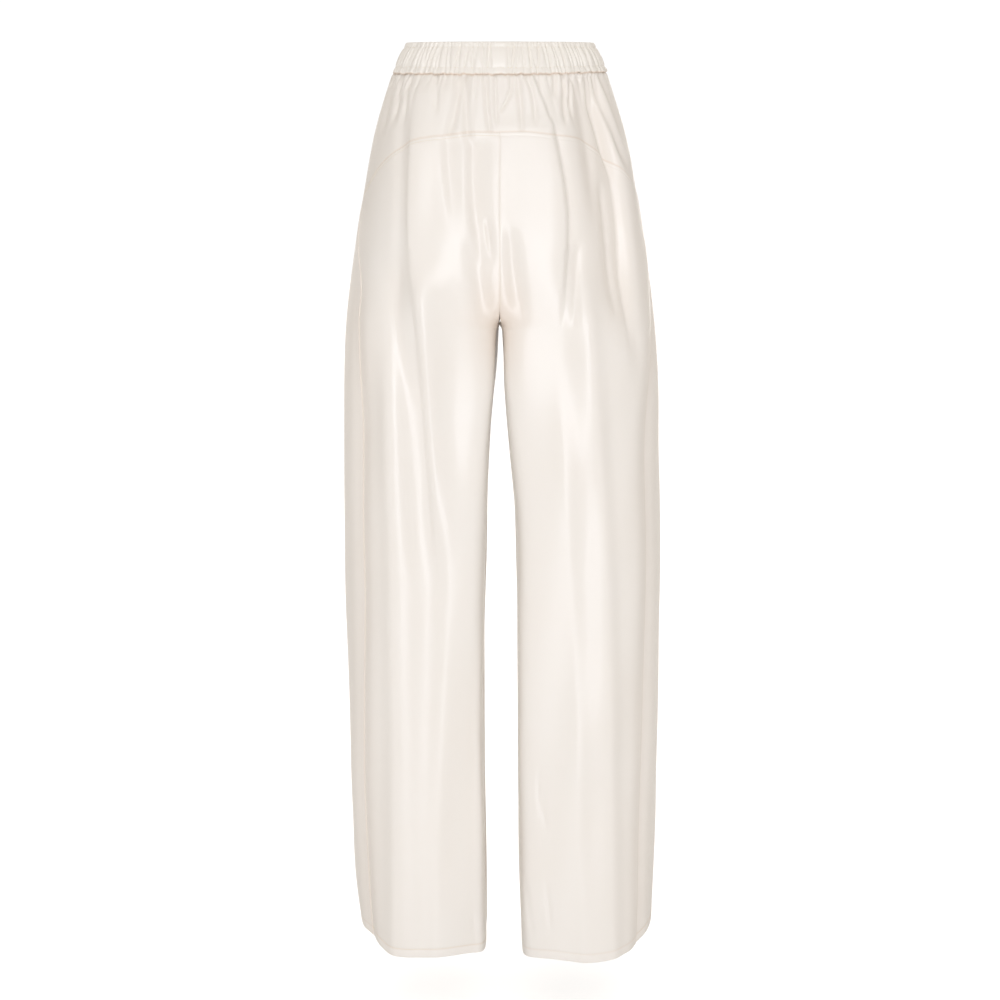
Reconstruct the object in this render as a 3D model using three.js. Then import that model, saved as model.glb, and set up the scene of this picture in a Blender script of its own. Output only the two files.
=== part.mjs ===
// Wide-leg pull-on trousers in satin: a gathered elastic waistband, a curved back yoke and four leg
// panels, hollow and filled out as worn. The back faces -Y, +Z is up, and the origin is the middle of
// the waist opening, halfway up the waistband. "Left" and "right" are as seen from behind.
import * as THREE from "three";

// Driving sizes in millimetres. A drop is a depth below the waist edge. In the tables, at is a drop
// or a share of the way across.
const WAIST_EDGE = 19;
const WAISTBAND_DEPTH = 38;
const CROTCH_DROP = 336;
const HIP_DROP = 236;
const LEG_LENGTH = 1120;
const HEM_TURN_UP = 11;
const HEM_DIP_STARTS = 950;
const CLOTH = 1.3;
const HEM_CLOTH = 2.1;
const SEAM_GAP = 0.3;

// How far each side, the back and the front stand out from the middle
const SECTIONS = [
  { at: 0, left: 113, right: 113, back: 76, front: 76 },
  { at: 38, left: 129.5, right: 129.5, back: 85, front: 83 },
  { at: 68, left: 140, right: 140, back: 93, front: 89 },
  { at: 116, left: 153, right: 153, back: 104, front: 96 },
  { at: 188, left: 167, right: 168, back: 114, front: 103 },
  { at: 236, left: 175, right: 176, back: 118, front: 106 },
  { at: 334, left: 187, right: 189, back: 116, front: 107 },
  { at: 433, left: 191, right: 195, back: 108, front: 104 },
  { at: 609, left: 192, right: 199, back: 102, front: 101 },
  { at: 815, left: 189, right: 199, back: 98, front: 98 },
  { at: 1025, left: 183, right: 196, back: 93, front: 94 },
  { at: 1130, left: 174, right: 193, back: 91, front: 92 },
];

// The section's exponent at its outer and its inner half: 2 is an ellipse, and more is squarer
const FULLNESS = [
  { at: 38, outer: 2.2, inner: 2.2 },
  { at: 150, outer: 2.6, inner: 2.6 },
  { at: 250, outer: 2.6, inner: 2.8 },
  { at: 460, outer: 2.3, inner: 7 },
  { at: 600, outer: 2.3, inner: 7 },
];

// Half of the gap between the legs, below the rounded arch at the crotch. The arch rounds off the
// inseam first, and the rest of the section takes the gap up more slowly.
const ARCH_HEIGHT = 24;
const ARCH_TURN = 1.9;
const GAP_SPREADS = 100;
const INSEAMS = [
  { at: 360, left: 5, right: 5 },
  { at: 408, left: 6.3, right: 6.3 },
  { at: 471, left: 12.4, right: 12.6 },
  { at: 559, left: 17.4, right: 19 },
  { at: 712, left: 20, right: 22.4 },
  { at: 920, left: 20, right: 24 },
  { at: 1130, left: 18, right: 28 },
];

// From here down the centre seams curve in to the crotch, as the body parts into two legs. A higher
// curve keeps them straight for longer.
const PARTING_STARTS = 130;
const PARTING_CURVE = 13;

// The side seams swing round to the back below the hip, in degrees, and lie in a soft valley there
const SIDE_SEAMS = [
  { at: 187, left: 0, right: 0 },
  { at: 245, left: 20, right: 8 },
  { at: 305, left: 36, right: 19 },
  { at: 426, left: 44, right: 36 },
  { at: 487, left: 45, right: 40 },
  { at: 673, left: 45, right: 41 },
  { at: 928, left: 39, right: 44 },
  { at: 1130, left: 36, right: 43 },
];
const SEAM_VALLEY = { depth: 4.5, width: 15, starts: 240, full: 380 };

// The yoke seam, from the side seam (share 0) to the middle of the back (share 1)
const YOKE_SEAM = [
  { at: 0, seam: 187 },
  { at: 0.22, seam: 168 },
  { at: 0.375, seam: 142 },
  { at: 0.51, seam: 122 },
  { at: 0.6, seam: 112.5 },
  { at: 0.76, seam: 107 },
  { at: 0.87, seam: 104 },
  { at: 1, seam: 104.5 },
];

// How far the hem dips or, under 0, rises, from the side (0) to the inseam (1)
const HEM_DIPS = [
  { at: 0, left: -22, right: -24 },
  { at: 0.12, left: -11, right: -6 },
  { at: 0.25, left: -2, right: 0 },
  { at: 0.5, left: 0, right: 5.5 },
  { at: 0.8, left: -2, right: 2 },
  { at: 1, left: -3, right: 2 },
];

// Folds: each runs through three points, and is a ridge (depth over 0) or a trough. A lean over 0
// makes its right flank steeper, and under 0 its left flank.
const FOLDS = {
  back: [
    { top: 44, x0: -90, mid: 190, x1: -101, foot: 430, x2: -95, depth: 5.5, width: 42, lean: -1 },
    { top: 70, x0: -112, mid: 205, x1: -116, foot: 345, x2: -113, depth: -3, width: 11, lean: 0.5 },
    { top: 260, x0: -105, mid: 440, x1: -94, foot: 640, x2: -80, depth: -6, width: 12, lean: 0 },
    { top: 98, x0: -63, mid: 160, x1: -58, foot: 228, x2: -55, depth: -3, width: 10, lean: 0 },
    { top: 96, x0: -35, mid: 190, x1: -30, foot: 318, x2: -12, depth: -5, width: 11, lean: 0.3 },
    { top: 190, x0: 8, mid: 262, x1: 15, foot: 345, x2: 27, depth: -4.5, width: 11, lean: -0.2 },
    { top: 40, x0: 46, mid: 175, x1: 64, foot: 345, x2: 65, depth: 5, width: 16, lean: 0.9 },
    { top: 60, x0: 66, mid: 190, x1: 83, foot: 340, x2: 82, depth: -3.5, width: 9, lean: -0.4 },
    { top: 60, x0: 103, mid: 190, x1: 124, foot: 372, x2: 140, depth: -7, width: 20, lean: 1.4 },
    { top: 40, x0: 121, mid: 170, x1: 138, foot: 320, x2: 153, depth: 2.5, width: 10, lean: 0 },
    { top: 330, x0: -133, mid: 640, x1: -128, foot: 1300, x2: -127, depth: 8, width: 40, lean: -1.5 },
    { top: 470, x0: -58, mid: 760, x1: -62, foot: 1300, x2: -84, depth: 6, width: 42, lean: -1 },
    { top: 330, x0: 60, mid: 650, x1: 84, foot: 1300, x2: 106, depth: 6, width: 44, lean: 1 },
    { top: 250, x0: 97, mid: 640, x1: 126, foot: 1300, x2: 141, depth: 8, width: 36, lean: 1.5 },
  ],
  front: [
    { top: 42, x0: -88, mid: 190, x1: -104, foot: 430, x2: -108, depth: -6, width: 14, lean: 0.4 },
    { top: 42, x0: -60, mid: 150, x1: -66, foot: 300, x2: -72, depth: 4, width: 15, lean: -0.5 },
    { top: 42, x0: -30, mid: 120, x1: -33, foot: 230, x2: -36, depth: -3.5, width: 11, lean: 0 },
    { top: 200, x0: -16, mid: 265, x1: -24, foot: 350, x2: -40, depth: -4, width: 12, lean: 0.2 },
    { top: 42, x0: 28, mid: 140, x1: 34, foot: 262, x2: 37, depth: -3, width: 11, lean: 0 },
    { top: 42, x0: 58, mid: 180, x1: 68, foot: 330, x2: 74, depth: 4.5, width: 15, lean: 0.6 },
    { top: 42, x0: 92, mid: 210, x1: 106, foot: 400, x2: 118, depth: -6, width: 13, lean: -0.3 },
    { top: 190, x0: 14, mid: 258, x1: 22, foot: 345, x2: 38, depth: -3.5, width: 11, lean: 0 },
    { top: 380, x0: -118, mid: 520, x1: -104, foot: 690, x2: -96, depth: -4, width: 14, lean: 0 },
    { top: 420, x0: 104, mid: 560, x1: 112, foot: 720, x2: 124, depth: -4, width: 14, lean: 0 },
    { top: 300, x0: -126, mid: 668, x1: -132, foot: 1300, x2: -118, depth: 4.5, width: 38, lean: -1.4 },
    { top: 300, x0: 118, mid: 668, x1: 131, foot: 1300, x2: 136, depth: 4.5, width: 38, lean: 1.4 },
  ],
};
const FOLD_ENDS = 0.28;

// Folds run out this far from the centre seams, below the first drop, and this turn from the sides
const SEAM_HOLDS = { reach: 14, from: 130, full: 170 };
const SIDE_TURN = 0.3;

// The elastic draws the cloth into gathers, which run on below the waistband and fade
const WAISTBAND_GATHERS = 84;
const POINTS_PER_GATHER = 3;
const CASING_RINGS = [
  { drop: 0, wave: 1.6, swell: 0.2 },
  { drop: 6, wave: 0.6, swell: 0.3 },
  { drop: 18, wave: 1.2, swell: 1 },
  { drop: 30, wave: 0.6, swell: 0.4 },
  { drop: 37.7, wave: 1.8, swell: 0.4 },
];
const CASING_WALL = 1.3;
const FLAT_PATCH = { angle: -1.57, halfAngle: 0.13, edge: 1.6, calm: 0.85 };
const LOWER_GATHERS = { count: 50, depth: 1.7, fade: 44 };

// Rows and columns of the walls
const FRONT_TOP_ROWS = [WAISTBAND_DEPTH, 60, 88, 120, 153, 187, 199.25, 211.5, 223.75];
const YOKE_ROWS = 4;
const BACK_TOP_ROWS = 4;
const LEG_ROWS = [
  HIP_DROP, 262, 286, 306, 320, 330, CROTCH_DROP, 339.2, 348, 360, 385, 425, 480, 545, 615,
  690, 770, 860, 950, 1035, LEG_LENGTH - HEM_TURN_UP - 1, LEG_LENGTH - HEM_TURN_UP, LEG_LENGTH,
];
const BACK_COLUMNS = 21;
const FRONT_COLUMNS = 15;
const YOKE_SPLIT = 2;

const blend = (low, high, share) => low + (high - low) * share;

function smooth(share) {
  const held = THREE.MathUtils.clamp(share, 0, 1);
  return held * held * (3 - 2 * held);
}

// A smooth curve through one column of a table
function read(table, column, place) {
  const last = table.length - 1;
  let row = 0;
  while (row < last - 1 && place > table[row + 1].at) row += 1;
  const slope = (index) => {
    const before = table[Math.max(index - 1, 0)];
    const after = table[Math.min(index + 1, last)];
    return (after[column] - before[column]) / (after.at - before.at);
  };
  const span = table[row + 1].at - table[row].at;
  const t = THREE.MathUtils.clamp((place - table[row].at) / span, 0, 1);
  const ease = t * t * (3 - 2 * t);
  const start = slope(row) * span * t * (1 - t) * (1 - t);
  const end = slope(row + 1) * span * t * t * (1 - t);
  return blend(table[row][column], table[row + 1][column], ease) + start - end;
}

const BACK = -1;
const FRONT = 1;
const sideName = (half) => (half < 0 ? "left" : "right");
const faceName = (face) => (face === BACK ? "back" : "front");

// Across and out at a turn from the side, as shares of the section's half-width and depth
function section(turn, drop) {
  const exponent = read(FULLNESS, Math.abs(turn) > Math.PI / 2 ? "inner" : "outer", drop);
  const across = Math.cos(turn);
  const out = Math.sin(Math.abs(turn));
  const reach = (Math.abs(across) ** exponent + Math.abs(out) ** exponent) ** (-1 / exponent);
  return { across: across * reach, out: out * reach };
}

// Half of the gap between the legs at a drop
function inseam(half, drop) {
  const arch = THREE.MathUtils.clamp((drop - CROTCH_DROP) / ARCH_HEIGHT, 0, 1);
  return read(INSEAMS, sideName(half), drop) * Math.sqrt(1 - (1 - arch) ** 2);
}

// One half of the section: its half-width, middle, depth and last turn. A turn starts at the side.
function lobe(half, face, drop) {
  const outer = read(SECTIONS, sideName(half), drop);
  const depth = read(SECTIONS, faceName(face), drop);
  const gap = inseam(half, drop) * smooth((drop - CROTCH_DROP) / GAP_SPREADS);
  const inner = gap + SEAM_GAP / 2;
  const apart = THREE.MathUtils.clamp((drop - PARTING_STARTS) / (CROTCH_DROP - PARTING_STARTS), 0, 1);
  const seamOut = Math.sqrt(1 - apart ** PARTING_CURVE);
  const exponent = read(FULLNESS, "inner", drop);
  const parted = (1 - seamOut ** exponent) ** (1 / exponent);
  const width = (outer - inner) / (1 + parted);
  const end = Math.PI - Math.max(Math.atan2(seamOut, parted), SEAM_GAP / 2 / depth);
  return { width, middle: outer - width, depth, end, arch: inseam(half, drop) - gap };
}

// The turn at which the side seam lies
function seamTurn(half, drop) {
  return THREE.MathUtils.degToRad(Math.max(read(SIDE_SEAMS, sideName(half), drop), 0));
}

// A point of the plain section; turns over 0 go round the back and under 0 round the front
function plainPoint(half, turn, drop) {
  const face = turn >= 0 ? BACK : FRONT;
  const { width, middle, depth, arch } = lobe(half, face, drop);
  const inward = smooth((Math.abs(turn) - ARCH_TURN) / (Math.PI - ARCH_TURN));
  const { across, out } = section(turn, drop);
  const x = half * (middle + width * across + arch * inward);
  const y = face * depth * out;
  return new THREE.Vector3(x, y, WAIST_EDGE - drop);
}

function foldDepth(face, x, drop) {
  let sum = 0;
  for (const fold of FOLDS[faceName(face)]) {
    if (drop <= fold.top || drop >= fold.foot) continue;
    const path = [{ at: fold.top, x: fold.x0 }, { at: fold.mid, x: fold.x1 }, { at: fold.foot, x: fold.x2 }];
    const away = (x - read(path, "x", drop)) / fold.width;
    const steeper = 1 + Math.abs(fold.lean);
    const flank = Math.sign(away) === Math.sign(fold.lean) ? steeper : 1;
    const end = (fold.foot - fold.top) * FOLD_ENDS;
    const fade = smooth((drop - fold.top) / end) * smooth((fold.foot - drop) / end);
    sum += fold.depth * fade * Math.exp(-((away * flank) ** 2));
  }
  return sum;
}

// Uneven waves round the waist, from about -1 to 1
function gatherWave(count, angle) {
  const wander = 1.3 * Math.sin(5 * angle + 0.4) + 0.9 * Math.sin(11 * angle + 1.7);
  const strength = 0.72 + 0.28 * Math.sin(7 * angle + 2.1) * Math.sin(3 * angle + 0.8);
  return strength * Math.sin(count * angle + wander);
}

function raised(half, turn, drop) {
  const face = turn >= 0 ? BACK : FRONT;
  const plain = plainPoint(half, turn, drop);
  const { width } = lobe(half, face, drop);
  const toSeam = smooth((Math.abs(plain.x) - inseam(half, drop)) / SEAM_HOLDS.reach);
  const held = smooth((drop - SEAM_HOLDS.from) / (SEAM_HOLDS.full - SEAM_HOLDS.from));
  const hold = blend(1, toSeam, held);
  const nearSide = smooth(Math.abs(turn) / SIDE_TURN);
  let out = foldDepth(face, plain.x, drop) * hold * nearSide;
  const waistAngle = Math.atan2(face * Math.sin(Math.abs(turn)), half * Math.cos(turn));
  const fade = Math.exp(-(((drop - WAISTBAND_DEPTH) / LOWER_GATHERS.fade) ** 2));
  out += LOWER_GATHERS.depth * fade * hold * gatherWave(LOWER_GATHERS.count, waistAngle);
  const arc = (turn - seamTurn(half, drop)) * width;
  const valley = smooth((drop - SEAM_VALLEY.starts) / (SEAM_VALLEY.full - SEAM_VALLEY.starts));
  out -= SEAM_VALLEY.depth * valley * Math.exp(-((arc / SEAM_VALLEY.width) ** 2));
  return out;
}

// A point of the cloth's outer face
function clothPoint(half, turn, drop) {
  const step = 0.004;
  const ahead = plainPoint(half, turn + step, drop);
  const behind = plainPoint(half, turn - step, drop);
  const along = ahead.sub(behind).normalize();
  const outward = new THREE.Vector3(along.y, -along.x, 0).multiplyScalar(-half);
  return plainPoint(half, turn, drop).addScaledVector(outward, raised(half, turn, drop));
}

// Moves a row near the hem by the hem's dip there
function hemDrop(half, turn, drop) {
  const dip = read(HEM_DIPS, sideName(half), 0.5 - 0.5 * section(turn, drop).across);
  return drop + dip * smooth((drop - HEM_DIP_STARTS) / (LEG_LENGTH - HEM_DIP_STARTS));
}

// Outward direction of the cloth; on the centre seam it has no x, and on the inseam no y
function clothNormal(half, turn, drop, onSeam) {
  const stepTurn = 0.01;
  const stepDrop = 0.6;
  const across = clothPoint(half, turn + stepTurn, drop).sub(clothPoint(half, turn - stepTurn, drop));
  const down = clothPoint(half, turn, drop + stepDrop).sub(clothPoint(half, turn, drop - stepDrop));
  if (onSeam && drop < CROTCH_DROP) across.set(half, 0, 0).multiplyScalar(-Math.sign(turn));
  if (onSeam && drop >= CROTCH_DROP) across.set(0, 1, 0);
  const normal = across.cross(down).normalize();
  const middle = new THREE.Vector3(half * lobe(half, BACK, drop).middle, 0, WAIST_EDGE - drop);
  const outward = clothPoint(half, turn, drop).sub(middle);
  if (onSeam && Math.abs(drop - CROTCH_DROP) < 2) return new THREE.Vector3(0, 0, -1);
  return normal.dot(outward) < 0 ? normal.negate() : normal;
}

// Joins a grid of outer points to a grid of inner points; only a ring's may have fewer inner rows
function wall(outer, inner, ring) {
  const columns = outer[0].length;
  const points = [...outer.flat(), ...inner.flat()];
  const layer = outer.length * columns;
  const faces = [];
  const quad = (a, b, c, d) => faces.push(a, b, c, a, c, d);
  const outside = (row, column) => row * columns + (column % columns);
  const inside = (row, column) => layer + outside(row, column);
  const last = ring ? columns : columns - 1;
  for (let column = 0; column < last; column += 1) {
    const next = column + 1;
    for (let row = 0; row < outer.length - 1; row += 1) {
      quad(outside(row, column), outside(row, next), outside(row + 1, next), outside(row + 1, column));
    }
    for (let row = 0; row < inner.length - 1; row += 1) {
      quad(inside(row + 1, column), inside(row + 1, next), inside(row, next), inside(row, column));
    }
    quad(inside(0, column), inside(0, next), outside(0, next), outside(0, column));
    const [foot, innerFoot] = [outer.length - 1, inner.length - 1];
    quad(outside(foot, column), outside(foot, next), inside(innerFoot, next), inside(innerFoot, column));
  }
  for (let row = 0; row < outer.length - 1 && !ring; row += 1) {
    quad(inside(row, 0), outside(row, 0), outside(row + 1, 0), inside(row + 1, 0));
    quad(outside(row, last), inside(row, last), inside(row + 1, last), outside(row + 1, last));
  }
  return closedBody(points, faces);
}

// A closed body whose faces point outward
function closedBody(points, faces) {
  let volume = 0;
  for (let i = 0; i < faces.length; i += 3) {
    const [a, b, c] = [points[faces[i]], points[faces[i + 1]], points[faces[i + 2]]];
    volume += a.dot(new THREE.Vector3().crossVectors(b, c));
  }
  if (volume < 0) faces.reverse();
  const geometry = new THREE.BufferGeometry();
  geometry.setAttribute("position", new THREE.Float32BufferAttribute(points.flatMap((p) => p.toArray()), 3));
  geometry.setIndex(faces);
  geometry.computeVertexNormals();
  return geometry;
}

// One column of a panel: the turn at a share of the way from the side seam to the centre seam
function columnTurn(half, face, share, drop) {
  const seam = seamTurn(half, drop);
  const { width, end } = lobe(half, face, drop);
  const gap = SEAM_GAP / 2 / Math.max(width, 1);
  if (face === BACK) return blend(seam + gap, end, share);
  return blend(seam - gap, -end, share);
}

// The two points of the wall at a place on a panel
function wallPoints(half, face, share, drop, thickness) {
  const turn = columnTurn(half, face, share, drop);
  const lowered = hemDrop(half, turn, drop);
  const outer = clothPoint(half, turn, lowered);
  const normal = clothNormal(half, turn, lowered, share === 1);
  return [outer, outer.clone().addScaledVector(normal, -thickness)];
}

function panelWall(half, face, rowDrops, columns, thicknessAt) {
  const outer = [];
  const inner = [];
  rowDrops.forEach((dropAt, row) => {
    const pairs = [];
    for (let column = 0; column <= columns; column += 1) {
      const share = column / columns;
      pairs.push(wallPoints(half, face, share, dropAt(share), thicknessAt(row)));
    }
    outer.push(pairs.map((pair) => pair[0]));
    inner.push(pairs.map((pair) => pair[1]));
  });
  return wall(outer, inner, false);
}

const yokeSeam = (share) => read(YOKE_SEAM, "seam", share);
const hemRows = 2;
const legThickness = (rows) => (row) => (row >= rows - hemRows ? HEM_CLOTH : CLOTH);

function backLeg(half) {
  const rows = [];
  for (let step = 0; step < BACK_TOP_ROWS; step += 1) {
    const down = step / BACK_TOP_ROWS;
    rows.push((share) => blend(yokeSeam(share) + SEAM_GAP / 2, HIP_DROP, down));
  }
  LEG_ROWS.forEach((drop) => rows.push(() => drop));
  return panelWall(half, BACK, rows, BACK_COLUMNS, legThickness(rows.length));
}

function frontLeg(half) {
  const top = FRONT_TOP_ROWS.map((drop, row) => drop + (row === 0 ? SEAM_GAP / 2 : 0));
  const rows = [...top, ...LEG_ROWS].map((drop) => () => drop);
  return panelWall(half, FRONT, rows, FRONT_COLUMNS, legThickness(rows.length));
}

// The yoke is cut in one, from side seam to side seam
function backYoke() {
  const outer = [];
  const inner = [];
  const steps = BACK_COLUMNS * YOKE_SPLIT;
  for (let row = 0; row <= YOKE_ROWS; row += 1) {
    const pairs = [];
    for (let column = 0; column <= 2 * steps; column += 1) {
      const half = column <= steps ? -1 : 1;
      const share = 1 - Math.abs(column - steps) / steps;
      const low = Math.floor(share * BACK_COLUMNS) / BACK_COLUMNS;
      const high = Math.min(low + 1 / BACK_COLUMNS, 1);
      const between = high > low ? (share - low) / (high - low) : 0;
      const seam = blend(yokeSeam(low), yokeSeam(high), between) - SEAM_GAP / 2;
      const drop = blend(WAISTBAND_DEPTH + SEAM_GAP / 2, seam, row / YOKE_ROWS);
      pairs.push(wallPoints(half, BACK, share, drop, CLOTH));
    }
    outer.push(pairs.map((pair) => pair[0]));
    inner.push(pairs.map((pair) => pair[1]));
  }
  return wall(outer, inner, false);
}

// The waistband is one ring, gathered on its outer face and plain inside
function waistband() {
  const columns = WAISTBAND_GATHERS * POINTS_PER_GATHER;
  const ringPoint = (angle, drop, out) => {
    const depth = read(SECTIONS, Math.sin(angle) < 0 ? "back" : "front", drop);
    const width = read(SECTIONS, "left", drop);
    const shares = section(angle, drop);
    const x = (width + out) * shares.across;
    const y = Math.sign(angle) * (depth + out) * shares.out;
    return new THREE.Vector3(x, y, WAIST_EDGE - drop);
  };
  const angles = Array.from({ length: columns }, (_, column) => (2 * Math.PI * column) / columns - Math.PI);
  const gathered = (angle, ring) => {
    const away = Math.abs(angle - FLAT_PATCH.angle) / FLAT_PATCH.halfAngle;
    const calm = 1 - FLAT_PATCH.calm * smooth(FLAT_PATCH.edge - away);
    const wave = 0.5 + 0.5 * gatherWave(WAISTBAND_GATHERS, angle);
    return ringPoint(angle, ring.drop, ring.swell + ring.wave * calm * wave);
  };
  const outer = CASING_RINGS.map((ring) => angles.map((angle) => gathered(angle, ring)));
  const rims = [CASING_RINGS[0], CASING_RINGS.at(-1)];
  const inner = rims.map((ring) => angles.map((angle) => ringPoint(angle, ring.drop, -CASING_WALL)));
  return wall(outer, inner, true);
}

const garment = new THREE.Group();

function sew(name, geometry, colour) {
  const satin = new THREE.MeshStandardMaterial({ color: colour, roughness: 0.42, metalness: 0 });
  const mesh = new THREE.Mesh(geometry, satin);
  mesh.name = name;
  garment.add(mesh);
}

const IVORY = 0xf5efe4;
const CASING_IVORY = 0xf2ebde;
sew("waistband", waistband(), CASING_IVORY);
sew("back_yoke", backYoke(), IVORY);
sew("back_leg_left", backLeg(-1), IVORY);
sew("back_leg_right", backLeg(1), IVORY);
sew("front_leg_left", frontLeg(-1), IVORY);
sew("front_leg_right", frontLeg(1), IVORY);

export default garment;
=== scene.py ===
import math
from collections import namedtuple

import bmesh
import bpy
import mathutils
import numpy as np
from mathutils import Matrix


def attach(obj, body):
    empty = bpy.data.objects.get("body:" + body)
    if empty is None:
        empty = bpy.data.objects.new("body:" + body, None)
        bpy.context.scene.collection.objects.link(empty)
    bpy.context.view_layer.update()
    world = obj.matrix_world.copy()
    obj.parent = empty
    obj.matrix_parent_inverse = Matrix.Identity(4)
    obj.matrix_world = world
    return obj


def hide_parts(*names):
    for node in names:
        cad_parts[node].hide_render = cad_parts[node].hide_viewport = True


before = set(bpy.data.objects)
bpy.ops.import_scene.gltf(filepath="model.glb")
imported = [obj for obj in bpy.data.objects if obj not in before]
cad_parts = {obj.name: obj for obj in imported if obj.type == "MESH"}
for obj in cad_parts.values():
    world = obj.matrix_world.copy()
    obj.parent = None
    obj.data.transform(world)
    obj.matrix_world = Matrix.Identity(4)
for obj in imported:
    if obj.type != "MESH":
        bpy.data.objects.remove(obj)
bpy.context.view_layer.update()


# Leg panels: silk satin cut in four, two back panels from the yoke seam and two front ones from the
# waistband, filled out as worn. They are drawn in millimetres, by sections down from the waist edge,
# and the later pieces are laid on the same surface. Left and right are as seen from behind.
MM = 0.001
WAIST_EDGE = 19.0
WAIST_SEAM = 38.0
PARTING_STARTS, PARTING_CURVE = 130.0, 24.0
HIP = 236.0
CROTCH = 336.0
HEM = 1120.0
HEM_DIP_STARTS = 950.0
HALF_WAIST = 130.0
WAIST_RISE_LEFT, WAIST_RISE_RIGHT, WAIST_WAVER = 1.2, 3.6, 0.28
SEAM_GAP = 0.02
BACK, FRONT = -1, 1

Section = namedtuple("Section", "drop left right back front")
SECTIONS = [
    Section(0, 113, 113, 76, 76),
    Section(38, 129.5, 129.5, 85, 83),
    Section(68, 140, 140, 93, 89),
    Section(116, 153, 153, 104, 96),
    Section(188, 167, 168, 114, 103),
    Section(236, 175, 176, 118, 106),
    Section(334, 187, 189, 116, 107),
    Section(433, 191, 195, 108, 104),
    Section(609, 192, 199, 102, 101),
    Section(815, 189, 199, 98, 98),
    Section(1025, 183, 196, 93, 94),
    Section(1130, 174, 193, 91, 92),
]

# The section's exponent at the outer and the inner half: 2 is an ellipse, and more is squarer
Fullness = namedtuple("Fullness", "drop outer inner")
FULLNESS = [
    Fullness(38, 2.2, 2.2),
    Fullness(150, 2.6, 2.6),
    Fullness(250, 2.6, 3.2),
    Fullness(350, 2.5, 7.5),
    Fullness(460, 2.3, 9.5),
    Fullness(600, 2.3, 9.5),
]

# Half of the gap between the legs; the arch rounds off the inseam first
ARCH_HEIGHT = 24.0
ARCH_TURN = 1.9
GAP_SPREADS = 100.0
Inseam = namedtuple("Inseam", "drop left right")
INSEAMS = [
    Inseam(360, 5, 5),
    Inseam(408, 6.3, 6.3),
    Inseam(471, 12.4, 12.6),
    Inseam(559, 17.4, 19),
    Inseam(712, 20, 22.4),
    Inseam(920, 20, 24),
    Inseam(1130, 18, 28),
]

# How far the side seams swing round to the back, in degrees
SideSeam = namedtuple("SideSeam", "drop left right")
SIDE_SEAMS = [
    SideSeam(187, 0, 0),
    SideSeam(245, 20, 8),
    SideSeam(305, 36, 19),
    SideSeam(426, 44, 36),
    SideSeam(487, 45, 40),
    SideSeam(673, 45, 41),
    SideSeam(928, 39, 44),
    SideSeam(1130, 36, 43),
]
VALLEY_DEPTH, VALLEY_WIDTH = 4.5, 12.0
VALLEY_STARTS, VALLEY_FULL = 240.0, 360.0

# How far the hem dips, or under 0 rises, from the side (0) to the inseam (1)
HemDip = namedtuple("HemDip", "share left right")
HEM_DIPS = [
    HemDip(0, -22, -24),
    HemDip(0.12, -11, -6),
    HemDip(0.25, -2, 0),
    HemDip(0.5, 0, 5.5),
    HemDip(0.8, -2, 2),
    HemDip(1, -3, 2),
]

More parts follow.
